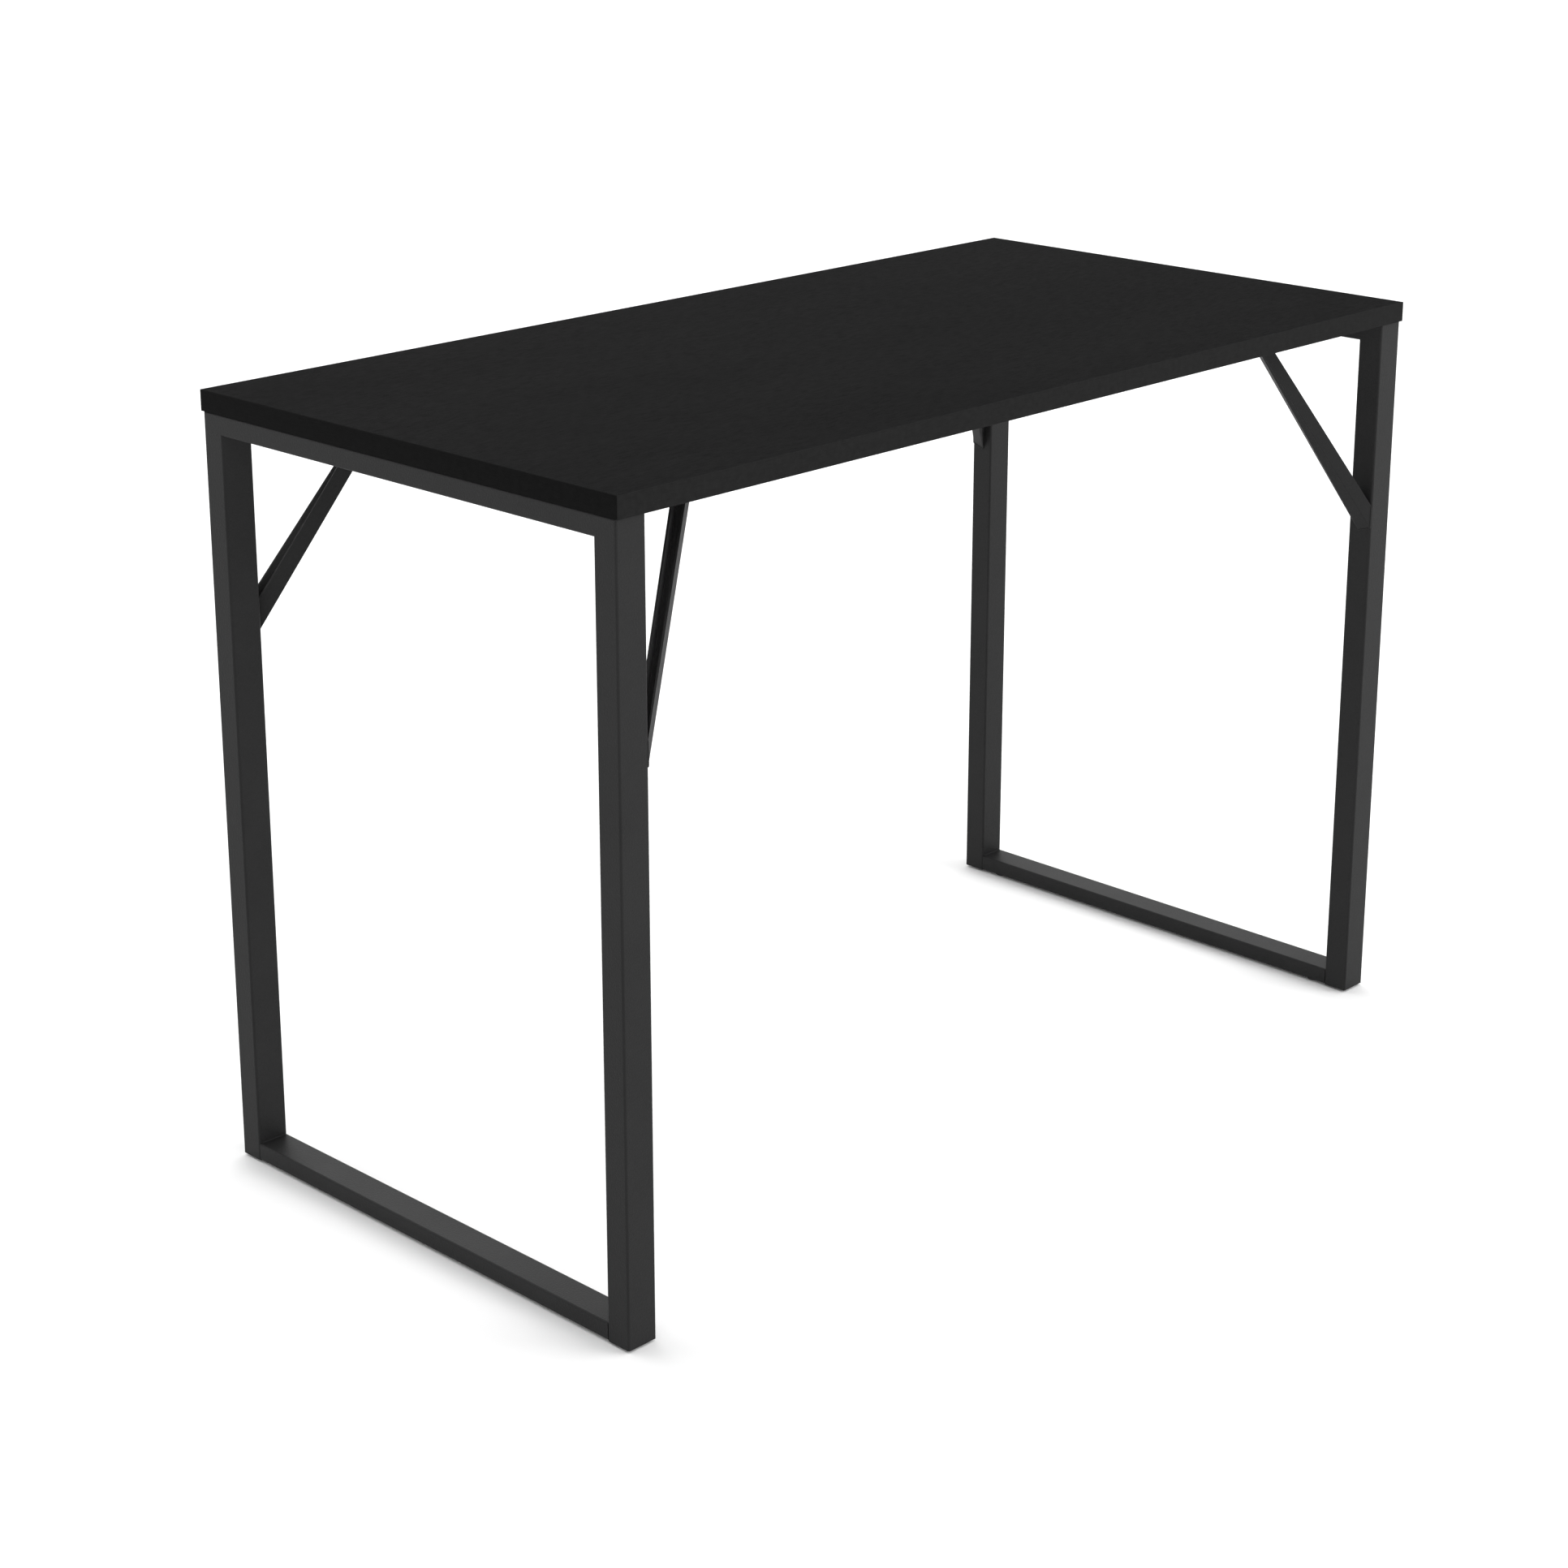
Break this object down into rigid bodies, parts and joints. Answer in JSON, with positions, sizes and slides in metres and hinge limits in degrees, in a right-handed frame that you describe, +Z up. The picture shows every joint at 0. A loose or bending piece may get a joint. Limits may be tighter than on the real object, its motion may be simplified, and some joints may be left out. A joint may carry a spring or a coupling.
{
  "type": "computer desk",
  "caption": "Plain rectangular desk: a laminated board on two closed end frames of rectangular steel tube, with folded steel channel braces up to the board and low glides.",
  "frame": {"origin": "middle of the desk's plan, on the floor that the glides stand on", "axes": "+X along the desk's long side, to the right of somebody who faces it from the front; the front side faces -Y; +Z up"},
  "size_m": [1.1, 0.55, 0.7575],
  "materials": {
    "laminate": "matte black melamine laminate",
    "edge_band": "matte black plastic edge band",
    "particleboard": "raw particleboard",
    "powder_coat": "fine satin black powder coat on steel",
    "black_plastic": "moulded matte black plastic",
    "zinc_plate": "bright zinc-plated steel"
  },
  "bodies": {
    "root": {"board_core": "particleboard", "backing_sheet": "laminate", "top_sheet": "laminate", "edge_band_front": "edge_band", "edge_band_back": "edge_band", "edge_band_left": "edge_band", "edge_band_right": "edge_band", "post_front_left": "powder_coat", "post_back_left": "powder_coat", "post_front_right": "powder_coat", "post_back_right": "powder_coat", "top_rail_left": "powder_coat", "top_rail_right": "powder_coat", "bottom_rail_left": "powder_coat", "bottom_rail_right": "powder_coat", "brace_front_left": "powder_coat", "brace_back_left": "powder_coat", "brace_front_right": "powder_coat", "brace_back_right": "powder_coat", "rail_screw_front_left": "zinc_plate", "rail_screw_back_left": "zinc_plate", "rail_screw_front_right": "zinc_plate", "rail_screw_back_right": "zinc_plate", "brace_screw_front_left": "zinc_plate", "brace_screw_back_left": "zinc_plate", "brace_screw_front_right": "zinc_plate", "brace_screw_back_right": "zinc_plate", "post_plug_front_left": "black_plastic", "post_plug_back_left": "black_plastic", "post_plug_front_right": "black_plastic", "post_plug_back_right": "black_plastic", "glide_front_left": "black_plastic", "glide_back_left": "black_plastic", "glide_front_right": "black_plastic", "glide_back_right": "black_plastic"}
  },
  "joints": []
}
